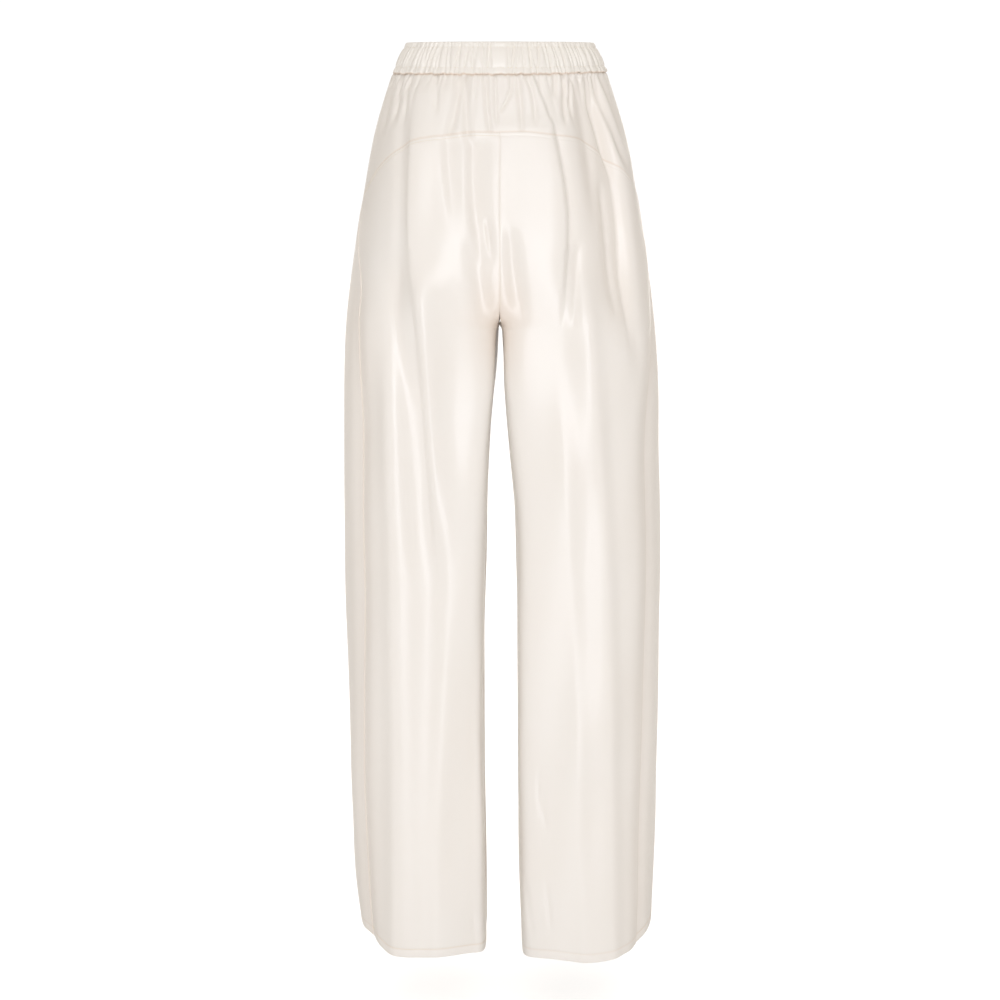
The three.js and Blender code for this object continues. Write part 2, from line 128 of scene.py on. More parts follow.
# The folds, listed one by one. Each runs through three points, drop and x, and stands out by its
# height or, under 0, sinks in. The flanks are how far it spreads to the left and right of that line,
# and it comes and goes over the two fades.
Fold = namedtuple("Fold", "face top x0 mid x1 foot x2 height left right fade_in fade_out")
FOLDS = [
    # the left pleat of the back, whose right side stands out over a falling left side
    Fold(BACK, 36, -88, 190, -101, 430, -95, 5.5, 22, 45, 25, 130),
    Fold(BACK, 60, -113, 200, -116, 340, -122, -3.5, 8, 9, 40, 80),
    Fold(BACK, 96, -102, 200, -106, 330, -103, 2.6, 2.6, 24, 30, 100),
    # the same pleat down the thigh, where it lies between two lit ridges
    Fold(BACK, 240, -130, 420, -110, 650, -96, -4.6, 12, 17, 60, 90),
    Fold(BACK, 250, -104, 420, -90, 640, -74, 2.8, 2.6, 20, 60, 110),
    Fold(BACK, 240, -98, 420, -83, 660, -68, 4.0, 8, 18, 70, 140),
    # the right pleat, which laps over the cloth to its right
    Fold(BACK, 34, 34, 66, 48, 98, 59, 4.0, 20, 2.4, 8, 12),
    Fold(BACK, 84, 58, 200, 76, 345, 68, 5.5, 42, 2.6, 16, 110),
    Fold(BACK, 92, 61, 200, 80, 345, 73, -3.2, 3, 9, 20, 100),
    Fold(BACK, 225, 92, 270, 90, 340, 86, -3.5, 5, 6, 20, 40),
    # troughs from the waist down the right hip
    Fold(BACK, 34, 110, 184, 143, 380, 155, -15.0, 36, 7, 50, 110),
    Fold(BACK, 34, 93, 120, 106, 230, 116, -5.0, 9, 9, 10, 90),
    Fold(BACK, 34, 103, 100, 124, 170, 146, -5.5, 4, 5, 8, 40),
    Fold(BACK, 34, 111, 84, 131, 160, 157, -5.2, 3.5, 4, 8, 36),
    Fold(BACK, 34, 119, 76, 137, 140, 158, -4.1, 3, 3.5, 6, 36),
    Fold(BACK, 150, 124, 235, 132, 330, 140, -3.8, 6, 6, 40, 50),
    Fold(BACK, 215, 150, 290, 158, 400, 165, -2.9, 8, 6, 40, 60),
    # gathers on the yoke that run on past the others, from left to right
    Fold(BACK, 34, -127, 72, -135, 118, -144, -2.9, 3, 3.5, 5, 30),
    Fold(BACK, 34, -117, 66, -122, 104, -128, -3.2, 3, 3.5, 5, 26),
    Fold(BACK, 34, -106, 66, -110, 100, -114, -3.5, 3, 3.5, 5, 26),
    Fold(BACK, 34, -75, 60, -75, 90, -74, -3.2, 3.5, 3.5, 5, 22),
    Fold(BACK, 34, -45, 75, -52, 114, -61, -5.2, 5, 5, 8, 16),
    Fold(BACK, 34, -41, 75, -40, 122, -38, -4.3, 4, 4.5, 6, 16),
    Fold(BACK, 34, -18, 75, -15, 110, -11, -3.2, 3, 3, 5, 16),
    Fold(BACK, 34, -6, 70, -5, 102, -4, -2.6, 2.5, 2.5, 5, 16),
    Fold(BACK, 34, 12, 56, 12, 84, -1, -3.2, 2, 3, 5, 10),
    Fold(BACK, 34, 19, 67, 24, 108, 26, -3.5, 3, 3, 5, 20),
    Fold(BACK, 34, 28, 62, 39, 100, 42, -4.1, 3, 3.5, 5, 16),
    Fold(BACK, 36, 64, 50, 64.5, 68, 65, -3.5, 3, 3, 4, 12),
    Fold(BACK, 34, 77, 66, 77, 100, 78, -4.9, 3.5, 3.5, 5, 20),
    Fold(BACK, 34, 84, 66, 85, 94, 87, -3.8, 2.5, 3, 5, 20),
    # soft drag lines under the seat
    Fold(BACK, 104, -62, 150, -60, 220, -53, -3.6, 5.5, 16, 14, 60),
    Fold(BACK, 104, -33, 190, -31, 276, -17, -5.4, 6, 17, 20, 60),
    Fold(BACK, 200, -16, 225, -13, 256, -8, -2.4, 3, 5, 14, 18),
    Fold(BACK, 215, -34, 262, -28, 345, -16, -4.2, 9, 12, 40, 60),
    Fold(BACK, 205, 8, 262, 16, 345, 28, -4.2, 12, 9, 35, 60),
    # the crests that part the lit middle of each leg from its sides
    Fold(BACK, 330, -133, 640, -128, 1300, -127, 8.0, 13, 40, 110, 60),
    Fold(BACK, 470, -58, 760, -62, 1300, -84, 6.0, 20, 42, 120, 60),
    Fold(BACK, 620, -30, 900, -36, 1300, -44, -6.0, 26, 22, 200, 60),
    Fold(BACK, 330, 60, 650, 84, 1300, 106, 6.0, 44, 18, 110, 60),
    Fold(BACK, 250, 97, 640, 126, 1300, 141, 8.0, 36, 13, 90, 60),
    # small creases at the inseams and hems
    Fold(BACK, 780, -23, 800, -25, 822, -27, -1.2, 1.6, 2.4, 12, 12),
    Fold(BACK, 850, -27, 868, -29, 890, -30, -1.0, 2.5, 3, 12, 12),
    Fold(BACK, 872, 50, 905, 47, 945, 52, -1.3, 2.2, 3.2, 20, 20),
    Fold(BACK, 890, 57, 925, 54, 960, 58, -1.0, 2.2, 2.2, 20, 20),
    Fold(BACK, 1020, 31, 1060, 36, 1105, 42, -1.3, 2.5, 3.5, 25, 25),
    Fold(BACK, 1015, 56, 1050, 60, 1090, 63, -1.1, 2.2, 3, 25, 25),
    Fold(BACK, 1062, -36, 1085, -30, 1112, -24, -1.6, 4, 3, 15, 15),
    # the front, which hangs from the same gathers
    Fold(FRONT, 34, -88, 190, -104, 430, -108, -5.5, 11, 7, 14, 120),
    Fold(FRONT, 34, -62, 150, -68, 330, -74, 4.0, 8, 30, 14, 90),
    Fold(FRONT, 34, -30, 120, -33, 230, -36, -2.8, 6, 6, 12, 60),
    Fold(FRONT, 200, -16, 265, -24, 350, -40, -3.2, 7, 8, 40, 50),
    Fold(FRONT, 34, 28, 140, 34, 262, 37, -2.6, 6, 6, 12, 70),
    Fold(FRONT, 34, 58, 180, 68, 340, 74, 4.5, 32, 7, 14, 90),
    Fold(FRONT, 34, 92, 210, 106, 400, 118, -5.5, 7, 10, 14, 110),
    Fold(FRONT, 190, 14, 258, 22, 345, 38, -3.0, 7, 7, 40, 50),
    Fold(FRONT, 34, -116, 120, -128, 240, -140, -2.6, 5, 5, 10, 70),
    Fold(FRONT, 34, -102, 84, -108, 150, -116, -2.4, 3.5, 4, 8, 40),
    Fold(FRONT, 34, -45, 74, -47, 122, -50, -2.4, 3.5, 4, 8, 40),
    Fold(FRONT, 34, 8, 74, 5, 120, 2, -2.0, 3, 3, 8, 40),
    Fold(FRONT, 34, 44, 70, 47, 110, 52, -2.4, 3.5, 3.5, 8, 36),
    Fold(FRONT, 34, 78, 74, 81, 130, 86, -2.8, 3.5, 4, 8, 44),
    Fold(FRONT, 34, 118, 110, 130, 220, 144, -2.6, 5, 5, 10, 70),
    Fold(FRONT, 380, -118, 520, -104, 690, -96, -3.6, 9, 9, 70, 90),
    Fold(FRONT, 420, 104, 560, 112, 720, 124, -3.6, 9, 9, 70, 90),
    Fold(FRONT, 300, -126, 668, -132, 1300, -118, 4.5, 16, 38, 130, 60),
    Fold(FRONT, 300, 118, 668, 131, 1300, 136, 4.5, 38, 16, 130, 60),
]
SEAM_REACH, SEAM_HOLD_FROM, SEAM_HOLD_FULL = 14.0, 130.0, 170.0
SIDE_TURN = 0.3

# The gathers that the elastic draws below the waist seam: narrow creases of uneven length
GATHER_SEED = 11
GATHER_COUNT = 120
Gather = namedtuple("Gather", "angle lean depth width reach")


def scattered_gathers():
    chance = np.random.default_rng(GATHER_SEED)
    step = 2 * math.pi / GATHER_COUNT
    made = []
    for index in range(GATHER_COUNT):
        long_one = chance.random() < 0.4
        made.append(Gather(
            angle=(index + chance.uniform(-0.32, 0.32)) * step - math.pi,
            lean=chance.uniform(-0.05, 0.05),
            depth=chance.uniform(0.7, 1.8) * (1.1 if long_one else 0.8),
            width=chance.uniform(0.9, 1.4) * (1.6 if long_one else 1.0),
            reach=chance.uniform(22, 54) if long_one else chance.uniform(5, 16),
        ))
    return made


GATHERS = scattered_gathers()


# The cloth is nowhere quite smooth: soft ripples, too shallow to see as folds, break up its sheen
RIPPLE_SEED = 3
RIPPLE_COUNT = 24
Ripple = namedtuple("Ripple", "x y drop phase height")


def soft_ripples():
    chance = np.random.default_rng(RIPPLE_SEED)
    made = []
    for _ in range(RIPPLE_COUNT):
        length, facing = chance.uniform(34, 130), chance.uniform(-1.1, 1.1)
        made.append(Ripple(
            x=2 * math.pi / length * math.cos(facing),
            y=2 * math.pi / length * math.sin(facing),
            drop=2 * math.pi / chance.uniform(150, 520),
            phase=chance.uniform(0, 2 * math.pi),
            height=length * chance.uniform(0.0014, 0.0028),
        ))
    return made


RIPPLES = soft_ripples()


def smooth(share):
    held = np.clip(share, 0.0, 1.0)
    return held * held * (3 - 2 * held)


def curve(table, column, place):
    """A smooth curve through one column of a table, read at an array of places."""
    at = np.array([row[0] for row in table], float)
    value = np.array([getattr(row, column) for row in table], float)
    before, after = np.maximum(np.arange(len(at)) - 1, 0), np.minimum(np.arange(len(at)) + 1, len(at) - 1)
    slope = (value[after] - value[before]) / (at[after] - at[before])
    held = np.clip(place, at[0], at[-1])
    row = np.clip(np.searchsorted(at, held, side="right") - 1, 0, len(at) - 2)
    span = at[row + 1] - at[row]
    t = (held - at[row]) / span
    lift = slope[row] * span * t * (1 - t) ** 2 - slope[row + 1] * span * t * t * (1 - t)
    return value[row] + (value[row + 1] - value[row]) * smooth(t) + lift


def side_name(half):
    return "left" if half < 0 else "right"


def section(turn, drop):
    """Across and out at a turn from the side, as shares of the section's half-width and depth."""
    inner = np.abs(turn) > math.pi / 2
    exponent = np.where(inner, curve(FULLNESS, "inner", drop), curve(FULLNESS, "outer", drop))
    across, out = np.cos(turn), np.sin(np.abs(turn))
    reach = (np.abs(across) ** exponent + np.abs(out) ** exponent) ** (-1 / exponent)
    return across * reach, out * reach


def waist_rise(x):
    """How far the waist seam rises towards the two sides, and wavers over the gathers."""
    waver = WAIST_WAVER * (np.sin(0.83 * x) + np.sin(0.29 * x + 1.0) + np.sin(0.47 * x + 2.2))
    return np.where(x < 0, WAIST_RISE_LEFT, WAIST_RISE_RIGHT) * (x / HALF_WAIST) ** 2 + waver


def leg_gap(half, drop):
    arch = np.clip((drop - CROTCH) / ARCH_HEIGHT, 0, 1)
    return curve(INSEAMS, side_name(half), drop) * np.sqrt(1 - (1 - arch) ** 2)


def lobe(half, turn, drop):
    """One half of the section: its half-width, middle, depth, last turn and arch. Turns are counted
    from the side, over 0 round the back and under 0 round the front."""
    outer = curve(SECTIONS, side_name(half), drop)
    depth = np.where(turn >= 0, curve(SECTIONS, "back", drop), curve(SECTIONS, "front", drop))
    gap = leg_gap(half, drop)
    slow = gap * smooth((drop - CROTCH) / GAP_SPREADS)
    apart = np.clip((drop - PARTING_STARTS) / (CROTCH - PARTING_STARTS), 0, 1)
    seam_out = np.sqrt(1 - apart ** PARTING_CURVE)
    exponent = curve(FULLNESS, "inner", drop)
    parted = (1 - seam_out ** exponent) ** (1 / exponent)
    width = (outer - slow - SEAM_GAP / 2) / (1 + parted)
    end = math.pi - np.maximum(np.arctan2(seam_out, parted), SEAM_GAP / 2 / depth)
    return width, outer - width, depth, end, gap - slow


def plain_point(half, turn, drop):
    width, middle, depth, _, arch = lobe(half, turn, drop)
    inward = smooth((np.abs(turn) - ARCH_TURN) / (math.pi - ARCH_TURN))
    across, out = section(turn, drop)
    x = half * (middle + width * across + arch * inward)
    y = np.where(turn >= 0, -1, 1) * depth * out
    return np.stack([x, y, WAIST_EDGE - drop + 0 * x], axis=-1)


def side_turn(half, drop):
    return np.radians(np.maximum(curve(SIDE_SEAMS, side_name(half), drop), 0))


PathPoint = namedtuple("PathPoint", "drop x")


def fold_height(turn, x, drop):
    total = np.zeros_like(x)
    for fold in FOLDS:
        path = [PathPoint(fold.top, fold.x0), PathPoint(fold.mid, fold.x1), PathPoint(fold.foot, fold.x2)]
        away = x - curve(path, "x", drop)
        flank = np.where(away < 0, fold.left, fold.right)
        fade = smooth((drop - fold.top) / fold.fade_in) * smooth((fold.foot - drop) / fold.fade_out)
        on_face = (turn >= 0) == (fold.face == BACK)
        total += on_face * fold.height * fade * np.exp(-(away / flank) ** 2)
    return total


def ripple_height(point, drop):
    total = np.zeros_like(drop)
    for ripple in RIPPLES:
        wave = ripple.x * point[..., 0] + ripple.y * point[..., 1] + ripple.drop * drop + ripple.phase
        total += ripple.height * np.sin(wave)
    return total * smooth((drop - WAIST_SEAM) / WAIST_SEAM)


def waist_angle(half, turn):
    return np.arctan2(-np.sin(turn), half * np.cos(turn))


def gather_height(angle, drop, radius):
    below = drop - WAIST_SEAM
    total = np.zeros_like(angle)
    for gather in GATHERS:
        line = gather.angle + gather.lean * below / gather.reach
        away = (np.mod(angle - line + math.pi, 2 * math.pi) - math.pi) * radius
        spread = gather.width * (1 + below / gather.reach)
        total -= gather.depth * np.exp(-(away / spread) ** 2) * np.exp(-(below / gather.reach) ** 2)
    return total


def raised(half, turn, drop):
    width = lobe(half, turn, drop)[0]
    plain = plain_point(half, turn, drop)
    to_seam = smooth((np.abs(plain[..., 0]) - leg_gap(half, drop)) / SEAM_REACH)
    held = smooth((drop - SEAM_HOLD_FROM) / (SEAM_HOLD_FULL - SEAM_HOLD_FROM))
    hold = 1 - held + held * to_seam
    out = fold_height(turn, plain[..., 0], drop) * hold * smooth(np.abs(turn) / SIDE_TURN)
    out += gather_height(waist_angle(half, turn), drop, width) * hold
    arc = (turn - side_turn(half, drop)) * width
    valley = smooth((drop - VALLEY_STARTS) / (VALLEY_FULL - VALLEY_STARTS))
    return out + ripple_height(plain, drop) - VALLEY_DEPTH * valley * np.exp(-(arc / VALLEY_WIDTH) ** 2)


def cloth_point(half, turn, drop, lift=0.0):
    """A point of the cloth's outer face, moved out by lift."""
    step = 0.004
    along = plain_point(half, turn + step, drop) - plain_point(half, turn - step, drop)
    along /= np.linalg.norm(along, axis=-1, keepdims=True)
    outward = np.stack([-half * along[..., 1], half * along[..., 0], 0 * along[..., 0]], axis=-1)
    return plain_point(half, turn, drop) + outward * (raised(half, turn, drop) + lift)[..., None]


def hem_drop(half, turn, drop):
    dip = curve(HEM_DIPS, side_name(half), 0.5 - 0.5 * section(turn, drop)[0])
    return drop + dip * smooth((drop - HEM_DIP_STARTS) / (HEM - HEM_DIP_STARTS))


# Pressed-open side, centre and inside leg seams join the panels. Each seam sinks into a fine groove,
# and each hem is turned up and stitched.
HEM_TURN_UP = 11.0
CLOTH = 0.9
SEAM_GROOVE, SEAM_GROOVE_WIDTH = 0.25, 1.1
WAIST_GROOVE, WAIST_GROOVE_WIDTH = 1.3, 1.6
STITCH_DIMPLE, STITCH_DIMPLE_WIDTH = 0.28, 1.1
YOKE_STITCH = 4.5
BACK_COLUMNS, FRONT_COLUMNS = 128, 180
BACK_ACROSS, FRONT_ACROSS = 215.0, 320.0
SEAM_COLUMNS = [0, 0.7, 1.5, 2.6, 4.2]
SEAM_ROWS = [0, 0.6, 1.3, 2.2, 3.1, 3.9, 4.5, 5.1, 6.0, 7.4, 9.2, 11.5]
TOP_ROWS, HIP_ROWS, CROTCH_ROWS, ARCH_ROWS, LEG_ROWS = 40, 54, 34, 18, 96
HEM_ROWS = [14.5, 12.8, 11.8, 11, 10.2, 8.6, 6, 3, 1, 0]
SLIDE_STARTS, SLIDE_LENGTH, SLIDE_HOLD = 200.0, 272.0, 5

YokeSeam = namedtuple("YokeSeam", "share drop")
YOKE_SEAM = [
    YokeSeam(0, 187),
    YokeSeam(0.22, 168),
    YokeSeam(0.375, 142),
    YokeSeam(0.51, 122),
    YokeSeam(0.6, 112.5),
    YokeSeam(0.76, 107),
    YokeSeam(0.87, 104),
    YokeSeam(1, 104.5),
]

# Painted shade and glow: how far the ivory is mixed towards a warm tan along the seams, at the crotch,
# inseams and sides, and in the hollows of the folds, in place of the shade and the light through the cloth
PAINTED_SHADE_WIDTH = 1.2
WAIST_PAINTED_SHADE, YOKE_PAINTED_SHADE, PANEL_PAINTED_SHADE, HEM_PAINTED_SHADE = 0.4, 0.16, 0.045, 0.1
CROTCH_GLOW, CROTCH_GLOW_WIDTH, CROTCH_GLOW_LENGTH = 0.17, 30.0, 56.0
INSEAM_GLOW, INSEAM_GLOW_WIDTH = 0.06, 34.0
SIDE_GLOW, SIDE_GLOW_WIDTH = 0.03, 26.0
HOLLOW_PAINTED_SHADE, HOLLOW_DEPTH = 0.04, 9.0


def bell(away, width):
    return np.exp(-(away / width) ** 2)


def painted_hollow_shade(half, turn, drop):
    """Painted shade in the hollows of the folds: the colour mixed towards tan by how deep each hollow
    sinks.
    """
    return HOLLOW_PAINTED_SHADE * np.clip(-raised(half, turn, drop) / HOLLOW_DEPTH, 0, 1)


def painted_leg_shade(half, turn, drop, to_side, to_middle):
    """Painted shade and glow on a leg panel: warmer and darker at the crotch, the inseam, the side and in
    the hollows of its folds.
    """
    x = plain_point(half, turn, drop)[..., 0]
    shade = CROTCH_GLOW * bell(x, CROTCH_GLOW_WIDTH) * bell(drop - CROTCH, CROTCH_GLOW_LENGTH)
    below = smooth((drop - HIP) / (CROTCH - HIP))
    shade += below * INSEAM_GLOW * bell(to_middle, INSEAM_GLOW_WIDTH)
    shade += below * SIDE_GLOW * bell(to_side, SIDE_GLOW_WIDTH)
    return shade + painted_hollow_shade(half, turn, drop)


def column_shares(count, width):
    """Even columns across a panel, with finer ones beside both seams."""
    near = np.array(SEAM_COLUMNS) / width
    middle = np.linspace(near[-1], 1 - near[-1], count - 2 * len(near) + 3)
    return np.concatenate([near, middle[1:-1], 1 - near[::-1]])


def turn_at(half, face, share, drop):
    """The turn at a share of the way from a panel's side seam to its inner one. The columns away from
    the inner seam slide round slowly where it sweeps round the crotch."""
    seam = side_turn(half, drop)
    end = lobe(half, face * np.full_like(drop, -1.0), drop)[3]
    slow = math.pi / 2 * (1 + smooth((drop - SLIDE_STARTS) / SLIDE_LENGTH))
    reached = slow + (end - slow) * share ** SLIDE_HOLD
    return seam + (np.where(face == BACK, reached, -reached) - seam) * share


def laid_grid(columns, rows, place):
    """A grid of cloth, moved to the points that place gives for each column and row, with the painted
    shade that place gives kept on its vertices."""
    bm = bmesh.new()
    bm.loops.layers.uv.new("UVMap")
    bmesh.ops.create_grid(bm, x_segments=columns, y_segments=rows, size=1, calc_uvs=True)
    flat = np.array([vert.co[:2] for vert in bm.verts])
    column = np.rint((flat[:, 0] + 1) / 2 * columns).astype(int)
    row = np.rint((1 - flat[:, 1]) / 2 * rows).astype(int)
    points, shades = place(column, row)
    painted_shade = bm.verts.layers.float.new("painted_shade")
    for vert, point, shade in zip(bm.verts, points * MM, shades):
        vert.co = point
        vert[painted_shade] = shade
    return bm


def finish_cloth(name, bm, thickness):
    for edge in bm.edges:
        edge.smooth = not edge.is_boundary
    mesh = bpy.data.meshes.new(name)
    bm.to_mesh(mesh)
    bm.free()
    mesh.polygons.foreach_set("use_smooth", [True] * len(mesh.polygons))
    piece = bpy.data.objects.new(name, mesh)
    bpy.context.scene.collection.objects.link(piece)
    wall = piece.modifiers.new("cloth", "SOLIDIFY")
    wall.thickness = thickness * MM
    wall.offset = -1
    return piece


def face_outward(bm, middle_x):
    """Turns the faces of an open sheet away from the upright line through middle_x."""
    face = max(bm.faces, key=lambda f: f.calc_area())
    centre = face.calc_center_median()
    if face.normal.dot(centre - mathutils.Vector((middle_x, 0, centre.z))) < 0:
        bmesh.ops.reverse_faces(bm, faces=bm.faces)


def leg_panel(name, half, face):
    across = BACK_ACROSS if face == BACK else FRONT_ACROSS
    shares = column_shares(BACK_COLUMNS if face == BACK else FRONT_COLUMNS, across)
    hip_count = HIP_ROWS if face == BACK else TOP_ROWS + HIP_ROWS
    if face == BACK:
        top = curve(YOKE_SEAM, "drop", shares) + SEAM_GAP
    else:
        at_waist = WAIST_SEAM + 0 * shares
        top_x = plain_point(half, turn_at(half, face, shares, at_waist), at_waist)[:, 0]
        top = WAIST_SEAM - waist_rise(top_x) + SEAM_GAP
    blend = np.linspace(0, 1, hip_count + 1)[1:, None]
    close = top + np.array(SEAM_ROWS)[:, None]
    upper = top + SEAM_ROWS[-1] + (HIP - top - SEAM_ROWS[-1]) * blend
    to_crotch = CROTCH - (CROTCH - HIP) * np.linspace(1, 0, CROTCH_ROWS)[1:] ** 2
    arch_foot = CROTCH + 2 * ARCH_HEIGHT
    to_arch_foot = CROTCH + 2 * ARCH_HEIGHT * np.linspace(0, 1, ARCH_ROWS)[1:] ** 2
    leg = np.concatenate([to_crotch, to_arch_foot, np.linspace(arch_foot, HEM - HEM_ROWS[0], LEG_ROWS)[1:]])
    lower = np.concatenate([leg, HEM - np.array(HEM_ROWS[1:])])[:, None] + 0 * shares
    drops = np.concatenate([close, upper, lower])
    top_painted_shade = YOKE_PAINTED_SHADE if face == BACK else WAIST_PAINTED_SHADE
    top_groove = (SEAM_GROOVE, SEAM_GROOVE_WIDTH) if face == BACK else (WAIST_GROOVE, WAIST_GROOVE_WIDTH)

    def place(column, row):
        share, drop = shares[column], drops[row, column]
        turn = turn_at(half, face, share, drop)
        width, _, _, end, _ = lobe(half, turn, drop)
        to_side, to_middle = np.abs(turn - side_turn(half, drop)) * width, (end - np.abs(turn)) * width
        to_top, to_hem = drop - drops[0, column], HEM - drop
        lift = -top_groove[0] * bell(to_top, top_groove[1])
        for away in (to_side, to_middle, to_hem):
            lift -= SEAM_GROOVE * bell(away, SEAM_GROOVE_WIDTH)
        lift -= STITCH_DIMPLE * bell(to_hem - HEM_TURN_UP, STITCH_DIMPLE_WIDTH)
        if face == BACK:
            lift -= STITCH_DIMPLE * bell(to_top - YOKE_STITCH, STITCH_DIMPLE_WIDTH)
        # Painted shade: the colour warms and darkens along the top seam, the hem stitching and both seams,
        # and at the crotch, the inseam, the side and in the hollows of the folds
        shade = top_painted_shade * bell(to_top, PAINTED_SHADE_WIDTH)
        shade += HEM_PAINTED_SHADE * bell(to_hem - HEM_TURN_UP, PAINTED_SHADE_WIDTH)
        shade += PANEL_PAINTED_SHADE * (bell(to_side, PAINTED_SHADE_WIDTH) + bell(to_middle, PAINTED_SHADE_WIDTH))
        shade += painted_leg_shade(half, turn, drop, to_side, to_middle)
        return cloth_point(half, turn, hem_drop(half, turn, drop), lift), shade

    bm = laid_grid(len(shares) - 1, len(drops) - 1, place)
    face_outward(bm, half * 0.1)
    return finish_cloth(name, bm, CLOTH)


def linear(hex_colour):
    """An sRGB hex colour as a linear RGBA colour."""
    parts = [int(hex_colour[i:i + 2], 16) / 255 for i in (1, 3, 5)]
    return [part / 12.92 if part <= 0.04045 else ((part + 0.055) / 1.055) ** 2.4 for part in parts] + [1.0]


def add_node(tree, kind, settings=(), links=()):
    """Adds a node with its settings by name and its inputs linked or set by socket."""
    node = tree.nodes.new(kind)
    for name, value in dict(settings).items():
        setattr(node, name, value)
    for socket, value in dict(links).items():
        if isinstance(value, bpy.types.NodeSocket):
            tree.links.new(value, node.inputs[socket])
        else:
            node.inputs[socket].default_value = value
    return node


def silk_satin(name, light, deep):
    """Silk satin, woven with long warp floats and pressed: a soft, broad sheen on an ivory ground, mixed
    towards tan where shade is painted on the vertices.
    """
    material = bpy.data.materials.new(name)
    material.use_nodes = True
    tree = material.node_tree
    tree.nodes.clear()
    place = add_node(tree, "ShaderNodeTexCoord").outputs["Object"]
    cloud = add_node(tree, "ShaderNodeTexNoise", links={"Vector": place, "Scale": 9.0, "Detail": 3.0})
    tint = add_node(tree, "ShaderNodeMix", {"data_type": "RGBA"},
                    {"Factor": cloud.outputs["Fac"], "A": linear(light), "B": linear(deep)})
    # The painted shade kept on the vertices mixes the ivory towards a warm tan
    seam = add_node(tree, "ShaderNodeAttribute", {"attribute_name": "painted_shade"})
    warm = add_node(tree, "ShaderNodeMix", {"data_type": "RGBA"},
                    {"Factor": seam.outputs["Fac"], "A": tint.outputs["Result"], "B": linear(PAINTED_SHADE_TAN)})
    grain = add_node(tree, "ShaderNodeTexNoise", links={"Vector": place, "Scale": 1300.0, "Detail": 2.0})
    bump = add_node(tree, "ShaderNodeBump", links={"Height": grain.outputs["Fac"], "Strength": 0.05,
                                                  "Distance": 0.0004})
    weft = add_node(tree, "ShaderNodeTangent", {"direction_type": "UV_MAP", "uv_map": "UVMap"})
    shader = add_node(tree, "ShaderNodeBsdfPrincipled", links={
        "Base Color": warm.outputs["Result"],
        "Roughness": 0.35,
        "IOR": 1.6,
        "Anisotropic": 0.8,
        "Anisotropic Rotation": 0.25,
        "Tangent": weft.outputs["Tangent"],
        "Sheen Weight": 0.12,
        "Sheen Roughness": 0.4,
        "Normal": bump.outputs["Normal"],
    })
    add_node(tree, "ShaderNodeOutputMaterial", links={"Surface": shader.outputs["BSDF"]})
    return material


# The tan is the colour of the painted shade in seams, folds and crotch, not a colour of the cloth
IVORY, DEEP_IVORY, PAINTED_SHADE_TAN = "#FCFAF6", "#FBF7F1", "#D9AC7A"
leg_satin = silk_satin("ivory_silk_satin", IVORY, DEEP_IVORY)
LEG_PANELS = [
    ("back_leg_left", -1, BACK, (0.24, 1.02)),
    ("back_leg_right", 1, BACK, (0.25, 1.02)),
    ("front_leg_left", -1, FRONT, (0.35, 1.10)),
    ("front_leg_right", 1, FRONT, (0.35, 1.10)),
]
for node, half, face, flat in LEG_PANELS:
    panel = leg_panel(node + "_satin", half, face)
    panel.data.materials.append(leg_satin)
    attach(panel, "root")
    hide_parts(node)


# Back yoke: one curved piece of the same satin, gathered into the waistband above, and lapped and
# topstitched over the leg panels below.
YOKE_COLUMNS = 190
YOKE_FINE_ROWS = [0, 0.7, 1.5, 2.6, 4.2]
YOKE_ROWS = 60


def yoke_panel():
    """The yoke, from the left side seam over the back to the right one."""
    share = 1 - np.abs(np.arange(2 * YOKE_COLUMNS + 1) - YOKE_COLUMNS) / YOKE_COLUMNS
    half = np.where(np.arange(2 * YOKE_COLUMNS + 1) <= YOKE_COLUMNS, -1, 1)
    at_waist = WAIST_SEAM + 0 * share
    top, foot = at_waist.copy(), curve(YOKE_SEAM, "drop", share) - SEAM_GAP
    for side in (-1, 1):
        mine = half == side
        x = plain_point(side, turn_at(side, BACK, share[mine], at_waist[mine]), at_waist[mine])[:, 0]
        top[mine] += SEAM_GAP - waist_rise(x)
    fine = np.array(YOKE_FINE_ROWS)[:, None]
    blend = np.linspace(0, 1, YOKE_ROWS + 1)[1:-1, None]
    middle = top + fine[-1] + (foot - top - 2 * fine[-1]) * blend
    drops = np.concatenate([top + fine, middle, foot - fine[::-1]])

    def place(column, row):
        drop = drops[row, column]
        points, to_side, hollow = np.empty((len(column), 3)), np.empty(len(column)), np.empty(len(column))
        to_top, to_foot = drop - top[column], foot[column] - drop
        for side in (-1, 1):
            mine = half[column] == side
            turn = turn_at(side, BACK, share[column][mine], drop[mine])
            width = lobe(side, turn, drop[mine])[0]
            to_side[mine] = np.abs(turn) * width
            lift = -WAIST_GROOVE * bell(to_top[mine], WAIST_GROOVE_WIDTH)
            lift -= SEAM_GROOVE * bell(to_side[mine], SEAM_GROOVE_WIDTH)
            lift -= SEAM_GROOVE * bell(to_foot[mine], SEAM_GROOVE_WIDTH)
            points[mine] = cloth_point(side, turn, drop[mine], lift)
            # Painted shade along the waist seam, the yoke seam and the side seams, and in the hollows of
            # the folds
            hollow[mine] = painted_hollow_shade(side, turn, drop[mine])
        shade = WAIST_PAINTED_SHADE * bell(to_top, PAINTED_SHADE_WIDTH) + YOKE_PAINTED_SHADE * bell(to_foot, PAINTED_SHADE_WIDTH)
        return points, shade + hollow + PANEL_PAINTED_SHADE * bell(to_side, PAINTED_SHADE_WIDTH)

    bm = laid_grid(2 * YOKE_COLUMNS, len(drops) - 1, place)
    face_outward(bm, 0)
    return finish_cloth("back_yoke_satin", bm, CLOTH)


yoke = yoke_panel()
yoke.data.materials.append(leg_satin)
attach(yoke, "root")
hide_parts("back_yoke")


